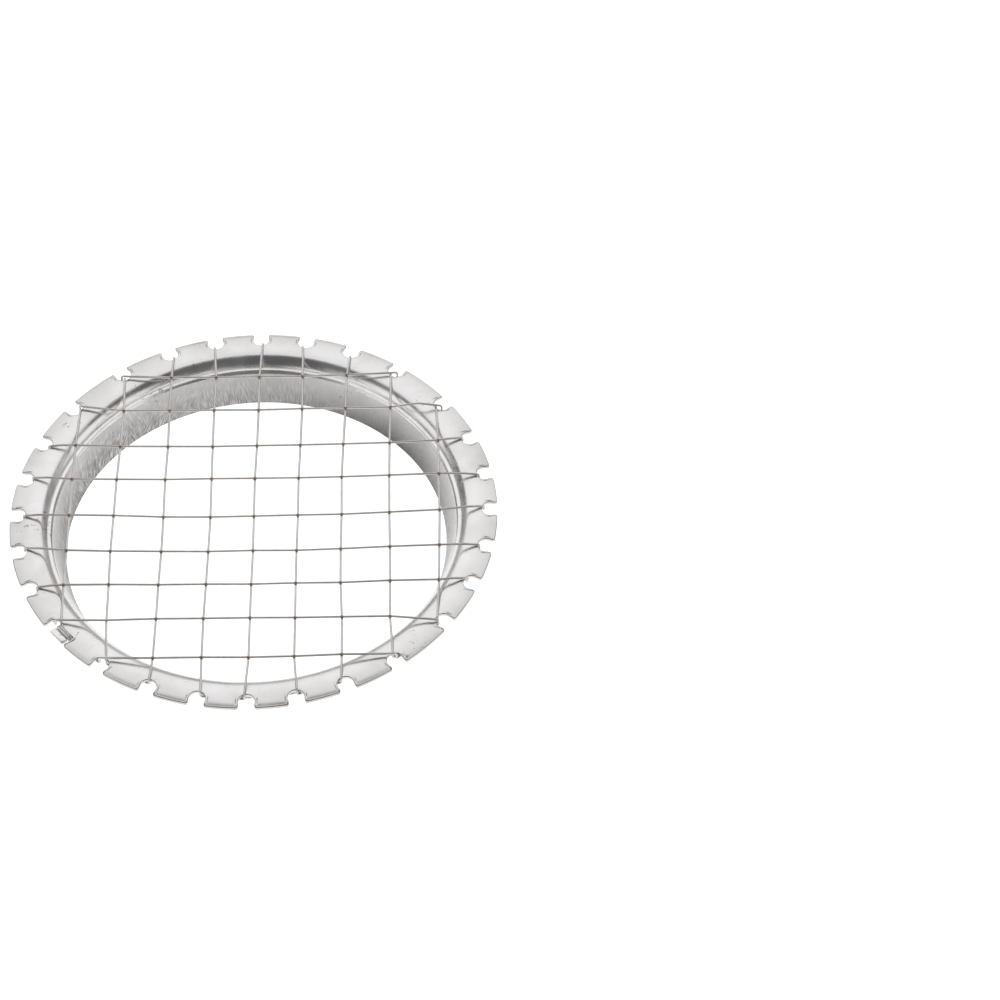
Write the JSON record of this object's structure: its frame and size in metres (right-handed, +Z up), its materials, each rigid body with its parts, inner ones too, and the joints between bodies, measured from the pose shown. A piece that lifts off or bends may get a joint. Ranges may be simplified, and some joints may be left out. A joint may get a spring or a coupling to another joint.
{
  "type": "hand grid cutter ring",
  "caption": "Pressed metal ring with a notched flange, laced with thin steel wire into a grid of square cells that cut soft food into sticks or cubes.",
  "frame": {"origin": "on the ring's axis, in the plane of the skirt's lower edge, which it stands on", "axes": "+Z up along the ring's axis, from the skirt's edge to the flange and the wire grid; X and Y run along the wires, +X with the upper passes and +Y with the lower ones. The tie lug is on the rim towards -X and -Y"},
  "size_m": [0.1068, 0.1068, 0.0119],
  "materials": {
    "ring_sheet": "bright pressed sheet, satin",
    "wire_steel": "bright drawn wire"
  },
  "bodies": {
    "root": {"frame_ring": "ring_sheet", "wire_pass_v1": "wire_steel", "wire_pass_v2": "wire_steel", "wire_pass_v3": "wire_steel", "wire_pass_v4": "wire_steel", "wire_pass_v5": "wire_steel", "wire_pass_v6": "wire_steel", "wire_pass_v7": "wire_steel", "wire_pass_v8": "wire_steel", "wire_pass_v9": "wire_steel", "wire_pass_h1": "wire_steel", "wire_pass_h2": "wire_steel", "wire_pass_h3": "wire_steel", "wire_pass_h4": "wire_steel", "wire_pass_h5": "wire_steel", "wire_pass_h6": "wire_steel", "wire_pass_h7": "wire_steel", "wire_pass_h8": "wire_steel", "wire_pass_h9": "wire_steel", "wire_turn_01": "wire_steel", "wire_turn_02": "wire_steel", "wire_turn_03": "wire_steel", "wire_turn_04": "wire_steel", "wire_turn_05": "wire_steel", "wire_turn_06": "wire_steel", "wire_turn_07": "wire_steel", "wire_turn_08": "wire_steel", "wire_turn_09": "wire_steel", "wire_turn_10": "wire_steel", "wire_turn_11": "wire_steel", "wire_turn_12": "wire_steel", "wire_turn_13": "wire_steel", "wire_turn_14": "wire_steel", "wire_turn_15": "wire_steel", "wire_turn_16": "wire_steel", "wire_turn_17": "wire_steel", "wire_tie_first": "wire_steel", "wire_tie_last": "wire_steel"}
  },
  "joints": []
}
